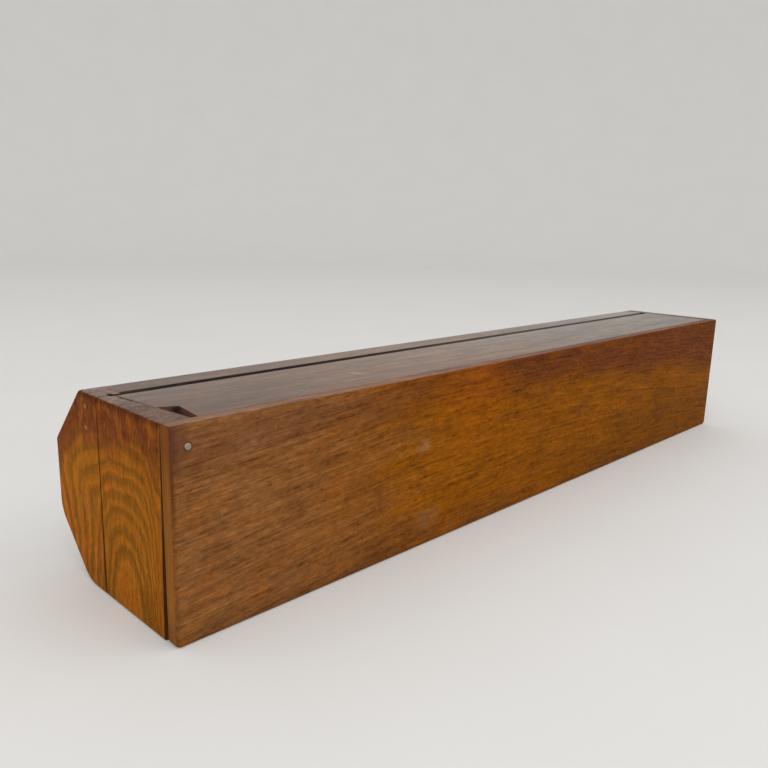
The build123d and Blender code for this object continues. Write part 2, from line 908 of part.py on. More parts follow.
def sliding_weight():
    half_length = weight_length / 2
    outline = closed(
        [
            (-half_length, -weight_wide / 2),
            (half_length, -weight_narrow / 2),
            (half_length, weight_narrow / 2),
            (-half_length, weight_wide / 2),
        ]
    )
    x = pendulum_x + weight_middle
    front = rod_middle - weight_thickness / 2
    weight = along_y(outline, x, middle_z, front, front + weight_thickness)
    weight = fillet(weight.edges(), weight_round)
    slot = rod_width / 2 + slide_gap
    slot_depths = (rod_front - slide_gap, rod_back + slide_gap)
    weight -= block(x - half_length, x + half_length, *slot_depths, middle_z - slot, middle_z + slot)
    pocket = spring_width / 2 + slide_gap
    pocket_half = spring_length / 2 + slide_gap
    pocket_depths = (rod_back, rod_back + slide_gap + spring_pocket)
    pocket_sides = (middle_z - pocket, middle_z + pocket)
    return weight - block(x - pocket_half, x + pocket_half, *pocket_depths, *pocket_sides)


def weight_spring():
    """A bowed leaf in the weight that presses on the back of the rod."""
    x = pendulum_x + weight_middle
    half = spring_length / 2
    floor = at_depth(rod_back + slide_gap + spring_pocket - seat_gap)
    crown = at_depth(rod_back + running_gap)
    near = ThreePointArc(
        (x - half, floor - spring_thickness), (x, crown), (x + half, floor - spring_thickness)
    )
    far = ThreePointArc((x - half, floor), (x, crown + spring_thickness), (x + half, floor))
    ends = [Line(near @ 0, far @ 0), Line(near @ 1, far @ 1)]
    leaf = make_face([near, far] + ends)
    return extrude(Pos(0, 0, middle_z - spring_width / 2) * leaf, amount=spring_width, dir=(0, 0, 1))


# Every node by name
nodes = {
    "front_cover": front_cover,
    "base_block": base_block,
    "head_block": head_block,
    "left_side_wall": left_side_wall,
    "right_side_wall": right_side_wall,
    "dial_board": dial_board,
    "rear_base_end": rear_base_end,
    "rear_head_end": rear_head_end,
    "rear_left_stave": rear_left_stave,
    "rear_left_chamfer_stave": lambda: rear_stave(1),
    "rear_back_stave": lambda: rear_stave(2),
    "rear_right_chamfer_stave": lambda: rear_stave(3),
    "rear_right_stave": lambda: rear_stave(4),
    "pivot_pin": pivot_pin,
    "pivot_nut": pivot_nut,
    "catch_magnets": catch_magnets,
    "cover_keeper": cover_keeper,
    "rear_keeper": rear_keeper,
    "tempo_scale": tempo_scale,
    "scale_pins": scale_pins,
    "front_plate": front_plate,
    "back_plate": back_plate,
    "pillars": pillars,
    "board_screws": board_screws,
    "plate_screws": plate_screws,
    "mainspring_barrel": mainspring_barrel,
    "barrel_cap": barrel_cap,
    "great_wheel": great_wheel,
    "mainspring": mainspring,
    "winding_arbor": winding_arbor,
    "ratchet_wheel": ratchet_wheel,
    "winding_knob": winding_knob,
    "knob_screw": knob_screw,
    "click_leaf": click_leaf,
    "click_screw": click_screw,
    "intermediate_pinion": intermediate_pinion,
    "intermediate_wheel": intermediate_wheel,
    "escape_pinion": escape_pinion,
    "escape_wheel": escape_wheel,
    "pendulum_arbor": pendulum_arbor,
    "anchor": anchor,
    "pendulum_hub": pendulum_hub,
    "pendulum_rod": pendulum_rod,
    "pendulum_screw": pendulum_screw,
    "pendulum_bob": pendulum_bob,
    "sliding_weight": sliding_weight,
    "weight_spring": weight_spring,
}


def main():
    os.makedirs("parts", exist_ok=True)
    for name, make in nodes.items():
        export_step(make(), f"parts/{name}.step")


if __name__ == "__main__":
    main()
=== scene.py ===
import json
import math

import bmesh
import bpy
from mathutils import Matrix, Vector


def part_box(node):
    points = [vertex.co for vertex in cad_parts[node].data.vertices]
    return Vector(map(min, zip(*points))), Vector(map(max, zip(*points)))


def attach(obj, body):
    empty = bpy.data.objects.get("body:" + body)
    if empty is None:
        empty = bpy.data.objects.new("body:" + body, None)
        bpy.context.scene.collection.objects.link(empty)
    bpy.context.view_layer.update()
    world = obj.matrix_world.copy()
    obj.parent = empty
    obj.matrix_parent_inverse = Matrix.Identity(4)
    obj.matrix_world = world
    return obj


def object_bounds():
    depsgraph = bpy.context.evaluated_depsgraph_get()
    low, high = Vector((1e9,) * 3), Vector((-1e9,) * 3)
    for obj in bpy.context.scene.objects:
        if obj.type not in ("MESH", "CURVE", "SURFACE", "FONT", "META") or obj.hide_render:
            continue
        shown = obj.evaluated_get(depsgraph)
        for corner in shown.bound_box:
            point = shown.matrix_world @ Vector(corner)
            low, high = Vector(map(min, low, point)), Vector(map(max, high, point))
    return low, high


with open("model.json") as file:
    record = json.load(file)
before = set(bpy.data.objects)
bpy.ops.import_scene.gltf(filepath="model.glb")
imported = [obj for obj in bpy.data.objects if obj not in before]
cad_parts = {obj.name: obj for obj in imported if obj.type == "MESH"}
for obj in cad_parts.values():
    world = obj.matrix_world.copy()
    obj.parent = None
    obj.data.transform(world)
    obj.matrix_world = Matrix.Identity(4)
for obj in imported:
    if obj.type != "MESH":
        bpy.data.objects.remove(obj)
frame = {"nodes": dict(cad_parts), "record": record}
cad_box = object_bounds()

# Lengths are in metres and colours in linear light
mm = 0.001

low, high = (Vector(corner) for corner in cad_box)
cover_low, cover_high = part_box("front_cover")
base_low, base_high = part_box("base_block")
scale_low, scale_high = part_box("tempo_scale")
weight_low, weight_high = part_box("sliding_weight")
end_side = cover_low.x
head_side = cover_high.x
front_side = cover_low.y
top_side = high.z
slit_middle = (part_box("left_side_wall")[1].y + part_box("rear_left_stave")[0].y) / 2


def in_mm(*lengths):
    """Lengths given in millimetres."""
    return tuple(length * mm for length in lengths)


def from_base(*lengths):
    """Places along X, in millimetres from the base end."""
    return tuple(end_side + length * mm for length in lengths)


def from_front(*depths):
    """Places along Y, in millimetres behind the front face."""
    return tuple(front_side + depth * mm for depth in depths)


def below_top(*depths):
    """Places along Z, in millimetres under the upper side."""
    return tuple(top_side - depth * mm for depth in depths)


class Graph:
    """A material's node tree, with one short call for each node that the finishes use."""

    def __init__(self, name):
        self.material = bpy.data.materials.new(name)
        self.material.use_nodes = True
        self.tree = self.material.node_tree
        self.tree.nodes.clear()
        self.output = self.tree.nodes.new("ShaderNodeOutputMaterial")
        here = self.add("ShaderNodeTexCoord")
        self.object = here.outputs["Object"]
        self.facing = here.outputs["Normal"]

    def add(self, kind, inputs=None, **settings):
        node = self.tree.nodes.new(kind)
        for key, value in settings.items():
            setattr(node, key, value)
        for key, value in (inputs or {}).items():
            self.put(node.inputs[key], value)
        return node

    def put(self, socket, value):
        """Links a socket to another one, or sets it to a number, a vector or a colour."""
        if isinstance(value, bpy.types.NodeSocket):
            self.tree.links.new(value, socket)
        elif hasattr(value, "__len__") and len(value) == 3 and socket.type == "RGBA":
            socket.default_value = (*value, 1)
        else:
            socket.default_value = value

    def math(self, operation, first, second=0.0, clamp=False):
        settings = {"operation": operation, "use_clamp": clamp}
        return self.add("ShaderNodeMath", {0: first, 1: second}, **settings).outputs[0]

    def times(self, first, *others):
        for other in others:
            first = self.math("MULTIPLY", first, other)
        return first

    def plus(self, first, *others):
        for other in others:
            first = self.math("ADD", first, other)
        return first

    def less(self, first, second):
        return self.math("SUBTRACT", first, second)

    def centred(self, noise):
        """Noise moved to lie about zero, up to a half to each side."""
        return self.less(noise, 0.5)

    def vector(self, operation, first, second):
        inputs = {0: first, 1: second}
        return self.add("ShaderNodeVectorMath", inputs, operation=operation).outputs[0]

    def measure(self, operation, first, second=(0, 0, 0)):
        """A number from one or two vectors, such as a length or a dot product."""
        inputs = {0: first, 1: second}
        return self.add("ShaderNodeVectorMath", inputs, operation=operation).outputs["Value"]

    def scale(self, colour, gain):
        inputs = {0: colour, "Scale": gain}
        return self.add("ShaderNodeVectorMath", inputs, operation="SCALE").outputs[0]

    def split(self, vector):
        return self.add("ShaderNodeSeparateXYZ", {0: vector}).outputs

    def join(self, x, y, z):
        return self.add("ShaderNodeCombineXYZ", {0: x, 1: y, 2: z}).outputs[0]

    def place(self, vector, size, shift=(0, 0, 0)):
        """Coordinates counted in lengths of size, one for each direction, from a point."""
        moved = self.vector("SUBTRACT", vector, shift)
        return self.vector("DIVIDE", moved, size)

    def noise(self, vector, detail=2.0, roughness=0.5):
        inputs = {"Vector": vector, "Scale": 1.0, "Detail": detail, "Roughness": roughness}
        return self.add("ShaderNodeTexNoise", inputs).outputs["Fac"]

    def band(self, value, start, end, to_start=0.0, to_end=1.0):
        """A smooth step from one value to another while value goes from start to end."""
        inputs = {"Value": value, 1: start, 2: end, 3: to_start, 4: to_end}
        return self.add("ShaderNodeMapRange", inputs, interpolation_type="SMOOTHSTEP").outputs[0]

    def ramp(self, value, stops, interpolation="LINEAR"):
        """A colour that runs through stops, each a position and a colour."""
        node = self.add("ShaderNodeValToRGB", {"Fac": value})
        node.color_ramp.interpolation = interpolation
        elements = node.color_ramp.elements
        while len(elements) < len(stops):
            elements.new(0.5)
        for element, (position, colour) in zip(elements, stops):
            element.position = position
            element.color = (*colour, 1)
        return node.outputs["Color"]

    def mix(self, share, first, second):
        """A mix of two colours, which this node takes in its inputs 6 and 7 and gives in its output 2."""
        inputs = {"Factor": share, 6: first, 7: second}
        return self.add("ShaderNodeMix", inputs, data_type="RGBA").outputs[2]

    def bump(self, height, distance):
        inputs = {"Height": height, "Distance": distance, "Strength": 1.0}
        return self.add("ShaderNodeBump", inputs).outputs["Normal"]

    def finish(self, colour, roughness, normal=None, **constant):
        inputs = {"Base Color": colour, "Roughness": roughness}
        if normal is not None:
            inputs["Normal"] = normal
        inputs.update({key.replace("_", " "): value for key, value in constant.items()})
        shader = self.add("ShaderNodeBsdfPrincipled", inputs)
        self.tree.links.new(shader.outputs[0], self.output.inputs["Surface"])
        return self.material


# Wood


def srgb(red, green, blue):
    """A colour as it reads on a screen, from 0 to 255, in linear light."""
    shares = (channel / 255 for channel in (red, green, blue))
    return tuple(s / 12.92 if s <= 0.04045 else ((s + 0.055) / 1.055) ** 2.4 for s in shares)


grey_brown = srgb(130, 85, 46)
orange_brown = srgb(131, 75, 10)
bright_orange = srgb(147, 78, 8)
red_brown = srgb(97, 51, 25)
olive_brown = srgb(113, 65, 5)
# Painted shade: this dull brown darkens the cover near the floor and at the back of its end strip.
shade_brown = srgb(90, 55, 31)
golden = srgb(154, 91, 16)
ring_orange = srgb(157, 86, 16)
olive = srgb(106, 69, 10)
brick = srgb(109, 53, 22)
strip_brown = srgb(152, 97, 38)
smudge = srgb(90, 56, 44)
# The dark pore, joint and notch colours below also paint shade in gaps, recesses and under edges, besides
# real pores, dashes and the cracked joint.
pore_dark_and_shade = srgb(50, 28, 10)
joint_dirt_and_shade = srgb(40, 21, 16)
recess_shade = srgb(66, 34, 20)
recess_side_shade = srgb(112, 62, 44)
rubbed_pale = srgb(158, 122, 88)
dust_and_sheen_grey = srgb(126, 116, 105)
dust_and_sheen_pale = srgb(129, 111, 102)
dust_and_sheen_warm = srgb(151, 119, 102)
fibre_pale = srgb(176, 118, 40)
scratch_pale = srgb(186, 174, 156)

# The tones of a long board, and the values of its broad noise at which they stand
tone_places = (0.28, 0.45, 0.58, 0.75)
wall_tones = (red_brown, grey_brown, orange_brown, grey_brown)
veneer_tones = (srgb(122, 76, 40), srgb(146, 98, 54), srgb(158, 106, 52), srgb(138, 90, 48))

# Grain: the width of its lines in millimetres, the length and width of the mottling and the pores,
# and how much thinner the lines are across a board's thin side
thread_width = 0.5
streak_width = 1.2
mottle_size = (2.0, 1.0)
pore_size = (3.2, 0.22)
thin_share = 0.45
darkest_gain = 0.3

# Surface: how wide an edge is, how alike a rounded and a flat normal are on an edge and off it,
# the sizes of rubbed places, smears and streaks in the dust with its painted sheen, how deep the pores are
# and how soft the sheen is
edge_radius = 1.0 * mm
edge_likeness = 0.80
flat_likeness = 0.99
rub_size = in_mm(9, 9, 9)
smear_size = in_mm(26, 11, 11)
dust_and_sheen_streak_size = in_mm(60, 5, 5)
pore_depth = 0.03 * mm
sheen_rough = 0.45

# Dust with painted sheen on the upper side, at the base end and at the head, as a share of a full film
cover_dust_and_sheen = (0.82, 0.74)
end_dust_and_sheen = (0.82, 0.82)
plain_dust_and_sheen = (0.2, 0.2)


class Grain:
    """Threads, streaks, mottling and open pores drawn out along the fibres of a board."""

    def __init__(self, g, coords, along, thin=None, thread=12.0, streak=30.0):
        def sized(length, width):
            size = [width * mm] * 3
            if thin:
                size["xyz".index(thin)] = thin_share * width * mm
            size["xyz".index(along)] = length * mm
            return g.place(coords, size)

        self.g = g
        self.thread = g.noise(sized(thread, thread_width), detail=3.0, roughness=0.65)
        self.streak = g.noise(sized(streak, streak_width), detail=3.0, roughness=0.6)
        self.mottle = g.noise(sized(*mottle_size), detail=4.0, roughness=0.7)
        self.pore = g.band(g.noise(sized(*pore_size), detail=1.0), 0.62, 0.72)

    def gain(self, threads, streaks, mottling):
        """How much lighter or darker the lines make a colour, about one."""
        g = self.g
        gain = 1.0
        for lines, share in ((self.thread, threads), (self.streak, streaks), (self.mottle, mottling)):
            gain = g.plus(g.times(g.centred(lines), share), gain)
        return g.math("MAXIMUM", gain, darkest_gain)

    def draw(self, colour, threads=1.65, streaks=1.0, mottling=1.4, pores=0.45):
        g = self.g
        lined = g.scale(colour, self.gain(threads, streaks, mottling))
        return g.mix(g.times(self.pore, pores), lined, pore_dark_and_shade)


def dust_film(g, dust, alike, smear):
    """How thick the dust and painted sheen lie: on the upper side alone, less on the edges and more
    towards the slit.
    """
    x, y, z = g.split(g.object)
    upward = g.band(g.split(g.facing)[2], 0.72, 0.96)
    lengthwise = g.band(x, end_side, head_side, *dust)
    crosswise = g.band(y, front_side, slit_middle, -0.1, 0.1)
    patches = g.band(smear, 0.3, 0.7, -0.12, 0.12)
    amount = g.math("ADD", g.plus(lengthwise, crosswise), patches, clamp=True)
    return g.times(upward, amount, g.band(alike, edge_likeness, flat_likeness, 0.6, 1.0))


def dust_shade(g, grain):
    """How light the dust and painted sheen are: in streaks along the grain, and lighter towards the slit.
    """
    y = g.split(g.object)[1]
    coarse = g.noise(g.place(g.object, dust_and_sheen_streak_size), detail=3.0, roughness=0.6)
    streaked = g.band(coarse, 0.3, 0.7, 0.82, 1.18)
    crosswise = g.band(y, *from_front(5), slit_middle, 0.9, 1.1)
    return g.times(streaked, crosswise, grain.gain(1.6, 1.6, 1.2))


def wood_surface(
    g, colour, grain, dust, film_colour=dust_and_sheen_grey, gloss=0.01, sheen=0.0, rough=0.38,
    crack=None, scratch=None,
):
    """Rubbed edges, dust with painted sheen on the upper side, a scratch or a crack, satin oil and open
    pores over a wood's colour.
    """
    rounded = g.add("ShaderNodeBevel", {"Radius": edge_radius}, samples=4).outputs[0]
    flat = g.add("ShaderNodeNewGeometry").outputs["Normal"]
    alike = g.measure("DOT_PRODUCT", rounded, flat)
    edge = g.band(alike, flat_likeness, edge_likeness)
    rub = g.noise(g.place(g.object, rub_size), detail=4.0, roughness=0.65)
    colour = g.mix(g.times(edge, g.band(rub, 0.45, 0.72, 0.0, 0.25)), colour, rubbed_pale)
    smear = g.noise(g.place(g.object, smear_size), detail=5.0, roughness=0.65)
    # The film on the upper side is dust with painted sheen: it lightens the upward faces to grey.
    dusty = g.scale(film_colour, dust_shade(g, grain))
    colour = g.mix(dust_film(g, dust, alike, smear), colour, dusty)
    if scratch is not None:
        colour = g.mix(scratch, colour, scratch_pale)
    if crack is not None:
        colour = g.mix(crack, colour, joint_dirt_and_shade)
    smeared = g.band(smear, 0.3, 0.7, rough, rough + 0.14)
    roughness = g.plus(smeared, g.times(grain.pore, 0.12))
    height = g.plus(g.times(grain.thread, 0.5), grain.pore)
    normal = g.bump(g.times(height, -1.0), pore_depth)
    return g.finish(
        colour, roughness, normal,
        IOR=1.5, Specular_IOR_Level=gloss, Sheen_Weight=sheen, Sheen_Roughness=sheen_rough,
    )


def spot(g, coords, place, size):
    """One at a point, falling to nothing at a distance of size from it."""
    away = g.measure("LENGTH", g.place(coords, size, place))
    return g.band(away, 1.0, 0.2)


def swayed(g, coords, size, reach):
    """A slow sway of the fibres, up to half of reach to each side."""
    return g.times(g.centred(g.noise(g.place(coords, size), detail=1.0)), reach)


# Cover: where along X its streaks turn over, how strongly they bend, and how they sway
cover_crown = -9 * mm
cover_bow = 0.338
cover_sway_size = in_mm(60, 50, 30)
cover_sway = 2.5 * mm

# Cover: the size of its broad clouds and patches, and how far the clouds move the borders of its colours
cover_cloud_size = in_mm(55, 9, 9)
cover_patch_size = in_mm(14, 6, 6)
cover_patch_shift = (0.2, 0, 0)
border_drift_along = 80 * mm
border_drift_up = 24 * mm

# Cover: where one colour passes into the next, from the base end (along) or from the floor (level)
orange_along = in_mm(22, 95)
olive_along = in_mm(140, 230)
olive_level = in_mm(30, 14)
red_along = in_mm(45, 120)
red_level = in_mm(40, 52)
red_turn = 110 * mm
red_slope = 0.08
# Painted shade: the front turns dull brown towards the floor, less so towards the head.
floor_shade_level = in_mm(9, -2)
floor_shade_along = in_mm(190, 270)
soiled_level = in_mm(40, 48)
soiled_along = in_mm(100, 60)
soiled_edge = in_mm(50.5, 52.5)
# Painted light: the front face is made brighter in a pool around this point.
painted_light_place = (88, 24)
painted_light_size = in_mm(42, 26, 26)
glow_place = (108, 44)
glow_size = in_mm(26, 26, 20)

# Cover: pale scuffs and dark dashes, placed in millimetres from the base end and the floor,
# and the painted shade along its near edge and the darker smudge in its upper near corner
cover_scuffs = (
    ((83.5, 32.2), in_mm(4.2, 3, 3.2), 0.42),
    ((86, 8.5), in_mm(8, 3, 5), 0.22),
    ((20, 45.5), in_mm(5, 3, 4), 0.2),
)
scuff_grain = in_mm(2.2, 1, 1.8)
cover_dashes = ((50, 36.6), (80, 38.5), (98, 32.7), (96, 26), (96.7, 16.8))
dash_size = in_mm(4, 2, 0.6)
edge_shade_along = in_mm(1.6, 0.5)
edge_shade_level = in_mm(28, 38)
upper_edge_shade_along = in_mm(3.4, 0.5)
upper_edge_shade_level = in_mm(38, 46)
corner_place = (0.5, 51)
corner_size = in_mm(6.5, 3, 13)

# Cover: the layers of its end grain, and where that turns red above, with painted shade below and behind
strip_layers = in_mm(9, 0.7, 40)
strip_red_level = in_mm(34, 49)
strip_floor_shade = in_mm(12, 2)
strip_back_shade = (1.5, 3.4)


def front_point(length, level):
    """A point on the front face, in millimetres from the base end and the floor."""
    return (end_side + length * mm, front_side, level * mm)


def cover_tones(g, bent):
    """The front leaf's broad colours, whose borders drift along the fibres."""
    x, y, z = g.split(g.object)
    length = g.less(x, end_side)
    broad = g.noise(g.place(bent, cover_cloud_size), detail=4.0, roughness=0.6)
    cloud = g.centred(broad)
    along = g.plus(length, g.times(cloud, border_drift_along))
    level = g.plus(z, g.times(cloud, border_drift_up))
    colour = g.mix(g.band(along, *orange_along), grey_brown, orange_brown)
    olive_part = g.times(g.band(along, *olive_along), g.band(level, *olive_level, 0.0, 0.85))
    colour = g.mix(olive_part, colour, olive_brown)
    red_height = g.plus(level, g.times(g.less(length, red_turn), red_slope))
    red_part = g.times(g.band(along, *red_along), g.band(red_height, *red_level, 0.0, 0.88))
    colour = g.mix(red_part, colour, red_brown)
    # Painted shade towards the floor.
    floor_shade = g.times(g.band(level, *floor_shade_level, 0.0, 0.68), g.band(length, *floor_shade_along, 1.0, 0.3))
    colour = g.mix(floor_shade, colour, shade_brown)
    soiled = g.times(g.band(level, *soiled_level), g.band(along, *soiled_along, 0.0, 0.32))
    colour = g.mix(g.times(soiled, g.band(z, *soiled_edge, 1.0, 0.2)), colour, smudge)
    # Painted light: a brighter pool on the front face.
    light_pool = spot(g, g.object, front_point(*painted_light_place), painted_light_size)
    colour = g.scale(colour, g.band(light_pool, 0.0, 1.0, 1.0, 1.11))
    glow = spot(g, g.object, front_point(*glow_place), glow_size)
    colour = g.mix(g.times(glow, 0.6), colour, bright_orange)
    patchy = g.noise(g.place(bent, cover_patch_size, cover_patch_shift), detail=3.0, roughness=0.6)
    colour = g.mix(g.band(patchy, 0.50, 0.70, 0.0, 0.28), colour, bright_orange)
    colour = g.mix(g.band(patchy, 0.50, 0.30, 0.0, 0.35), colour, red_brown)
    return g.mix(g.band(broad, 0.46, 0.28, 0.0, 0.40), colour, olive_brown)


def cover_marks(g, colour):
    """Pale scuffs, dark dashes, painted shade along the near edge, and a darker smudge in the upper near
    corner.
    """
    x, y, z = g.split(g.object)
    length = g.less(x, end_side)
    scratchy = g.noise(g.place(g.object, scuff_grain), detail=3.0, roughness=0.6)
    for place, size, share in cover_scuffs:
        mark = spot(g, g.object, front_point(*place), size)
        broken = g.band(scratchy, 0.25, 0.65, 0.2 * share, share)
        colour = g.mix(g.times(mark, broken), colour, rubbed_pale)
    for place in cover_dashes:
        mark = spot(g, g.object, front_point(*place), dash_size)
        colour = g.mix(g.times(mark, 0.45), colour, pore_dark_and_shade)
    # Painted shade along the near edge, stronger higher up.
    edge_shade = g.times(g.band(length, *edge_shade_along), g.band(z, *edge_shade_level, 0.35, 0.8))
    upper = g.times(g.band(z, *upper_edge_shade_level), g.band(length, *upper_edge_shade_along, 0.0, 0.6))
    colour = g.mix(g.math("MAXIMUM", edge_shade, upper), colour, g.scale(red_brown, 0.75))
    corner = spot(g, g.object, front_point(*corner_place), corner_size)
    return g.mix(g.times(corner, g.band(scratchy, 0.3, 0.7, 0.25, 0.75)), colour, smudge)


def cover_end_grain(g):
    """The thin strip of end grain that the front leaf shows at its base."""
    x, y, z = g.split(g.object)
    layers = g.noise(g.place(g.object, strip_layers), detail=2.0)
    colour = g.scale(strip_brown, g.band(layers, 0.35, 0.65, 0.72, 1.06))
    colour = g.mix(g.band(z, *strip_red_level, 0.0, 0.6), colour, brick)
    # Painted shade: the end strip darkens towards the floor and towards the gap behind.
    colour = g.mix(g.band(z, *strip_floor_shade, 0.0, 0.5), colour, shade_brown)
    return g.mix(g.band(y, *from_front(*strip_back_shade), 0.0, 0.4), colour, shade_brown)


def cover_wood():
    """The front leaf, whose colour goes from grey brown near the base to orange, red and olive brown."""
    g = Graph("rosewood_cover")
    x, y, z = g.split(g.object)
    from_crown = g.less(x, cover_crown)
    fall = g.times(from_crown, from_crown, cover_bow)
    sway = swayed(g, g.object, cover_sway_size, cover_sway)
    bent = g.join(x, y, g.plus(z, g.plus(fall, sway)))
    grain = Grain(g, bent, "x", thin="y")
    colour = grain.draw(cover_tones(g, bent))
    colour = cover_marks(g, colour)
    faces = g.split(g.facing)
    on_end = g.times(g.band(faces[0], -0.6, -0.9), 0.9)
    colour = g.mix(on_end, colour, cover_end_grain(g))
    # Painted shade on the faces that look back into the gap behind the leaf.
    colour = g.mix(g.band(faces[1], 0.6, 0.9, 0.0, 0.5), colour, pore_dark_and_shade)
    return wood_surface(g, colour, grain, cover_dust_and_sheen, film_colour=dust_and_sheen_warm)


# End boards: where the arches stand behind the front, how wide they are before they stretch, how much
# they stretch, how steep they are, how much narrower they are at the floor, how much more steeply they
# fall near the front, and how they sway and ripple
arch_depth = 23 * mm
arch_half = 14 * mm
arch_stretch = 0.6
arch_tilt = 0.75
arch_rise = 1.7 * mm
arch_squeeze = 1.6
squeeze_level = in_mm(8, 36)
steep_depth = in_mm(12, 6)
steep_more = 4.4 * mm
arch_sway_size = in_mm(17, 17, 14)
arch_sway = 5 * mm
arch_ripple_size = in_mm(3.0, 3.0, 3.0)
arch_ripple = 1.8 * mm

# End boards: the radius inside which there is no dark ring, those of the dark rings, and the spacing
# of the fine lines between them
ring_core = 11.5 * mm
ring_radii = in_mm(14.1, 17.9, 22.7, 25.6, 28.7, 31.6, 35.1, 38.5, 42.5, 47.0)
fine_line = 1.1 * mm

# End boards: clouds, worn places and pale fibres, a dark flank, where their colours change, and painted
# shade towards the floor
end_cloud_size = in_mm(12, 9, 16)
worn_size = in_mm(5, 3, 6)
fleck_size = in_mm(0.35, 0.35, 2.0)
flank_place = (12.5, 5.5)
flank_size = in_mm(3, 4, 9)
dark_ring_level = in_mm(6, 26)
end_floor_shade = in_mm(0, 12)
light_depth = in_mm(30, 46)
red_drift = 16 * mm
red_more_depth = in_mm(36, 58)
red_more = 9 * mm

# End boards: pale specks, in millimetres behind the front and above the floor, and the hollow on the
# upper side with the slit's run-out, both painted with shade, in millimetres from the base end
end_specks = (
    ((41.5, 50), in_mm(2, 1.0, 0.9)),
    ((41.7, 44.3), in_mm(2, 1.1, 0.8)),
)
hollow_from_base = 3.9
hollow_size = in_mm(1.3, 2.2, 3)
run_out_from_base = 7.9
run_out_size = in_mm(5, 3, 4)

# The far end's boards show another part of the same figure
head_figure_shift = (0, -0.004, 0.006)


def end_point(outer_x, depth, level):
    """A point on an end face, in millimetres behind the front and above the floor."""
    return (outer_x, front_side + depth * mm, level * mm)


def ring_ramp(g, radius):
    """The dark late wood of the rings that show in the photograph, by their distance from the pith."""
    span = ring_radii[-1]
    light, dark = (0.0,) * 3, (1.0,) * 3
    stops = [(ring_core / span, light)]
    for inner, outer in zip(ring_radii, ring_radii[1:]):
        stops.append((inner / span, dark))
        stops.append(((inner + outer) / 2 / span, light))
    return g.ramp(g.math("DIVIDE", radius, span), stops, "EASE")


def arch_radius(g, point, depth, outer_x):
    """The distance from the pith, which is the same along each of the nested arches."""
    x, y, z = point
    inward = g.math("ABSOLUTE", g.less(x, outer_x))
    off = g.less(depth, arch_depth)
    stretched = g.times(g.math("MAXIMUM", g.less(off, arch_half), 0.0), arch_stretch)
    across = g.plus(g.math("MINIMUM", off, arch_half), stretched)
    across = g.times(across, g.band(z, *squeeze_level, arch_squeeze, 1.0))
    along = g.plus(g.times(z, arch_tilt), inward, arch_rise)
    reach = g.math("SQRT", g.plus(g.math("POWER", across, 2.0), g.math("POWER", along, 2.0)))
    steep = g.band(depth, *steep_depth, 0.0, steep_more)
    wide = swayed(g, g.object, arch_sway_size, arch_sway)
    ripple = swayed(g, g.object, arch_ripple_size, arch_ripple)
    return g.plus(g.plus(reach, steep), g.plus(wide, ripple))


def end_tones(g, grain, radius, point, depth, outer_x, seed):
    """Golden wood with dark rings and fine lines, which turns red and worn towards the upper side."""
    z = point[2]
    level = g.split(g.object)[2]
    broad = g.noise(g.place(g.object, end_cloud_size, seed), detail=3.0, roughness=0.6)
    colour = g.mix(g.band(broad, 0.42, 0.66), golden, ring_orange)
    fading = g.band(grain.mottle, 0.25, 0.75, 0.35, 0.95)
    late_colour = g.scale(olive, g.band(level, *dark_ring_level, 0.66, 1.0))
    colour = g.mix(g.times(ring_ramp(g, radius), fading), colour, late_colour)
    flank = spot(g, g.object, end_point(outer_x, *flank_place), flank_size)
    colour = g.mix(g.times(flank, 0.5), colour, olive)
    fine = g.noise(g.join(g.math("DIVIDE", radius, fine_line), 0.0, 0.0), detail=2.0)
    # Painted shade: darker towards the floor.
    colour = g.scale(colour, g.band(level, *end_floor_shade, 0.90, 1.04))
    colour = g.scale(colour, g.band(fine, 0.25, 0.75, 1.12, 0.86))
    colour = g.scale(colour, g.band(depth, *light_depth, 1.03, 1.16))
    red_height = g.plus(z, g.times(g.centred(broad), red_drift))
    red_height = g.plus(red_height, g.band(depth, *red_more_depth, 0.0, red_more))
    colour = g.mix(g.band(red_height, *below_top(16, 5), 0.0, 0.9), colour, brick)
    worn = g.noise(g.place(g.object, worn_size, seed), detail=4.0, roughness=0.65)
    near_top = g.band(z, *below_top(14, 4))
    colour = g.mix(g.times(near_top, g.band(worn, 0.50, 0.66, 0.0, 0.7)), colour, ring_orange)
    return g.mix(g.times(near_top, g.band(worn, 0.48, 0.32, 0.0, 0.7)), colour, g.scale(brick, 0.5))


def slit_end_dirt(g, colour):
    """Painted shade in the oval hollow on the upper side and in the reddish run-out of the slit beside it.
    """
    level = g.split(g.object)[2]
    sunk = g.band(level, *below_top(0.1, 0.3))
    run_out = spot(g, g.object, (*from_base(run_out_from_base), slit_middle, top_side), run_out_size)
    hollow = spot(g, g.object, (*from_base(hollow_from_base), slit_middle, top_side), hollow_size)
    colour = g.mix(g.times(g.band(run_out, 0.0, 0.2, 0.0, 0.8), sunk), colour, recess_side_shade)
    return g.mix(g.times(g.band(hollow, 0.0, 0.2), sunk), colour, joint_dirt_and_shade)


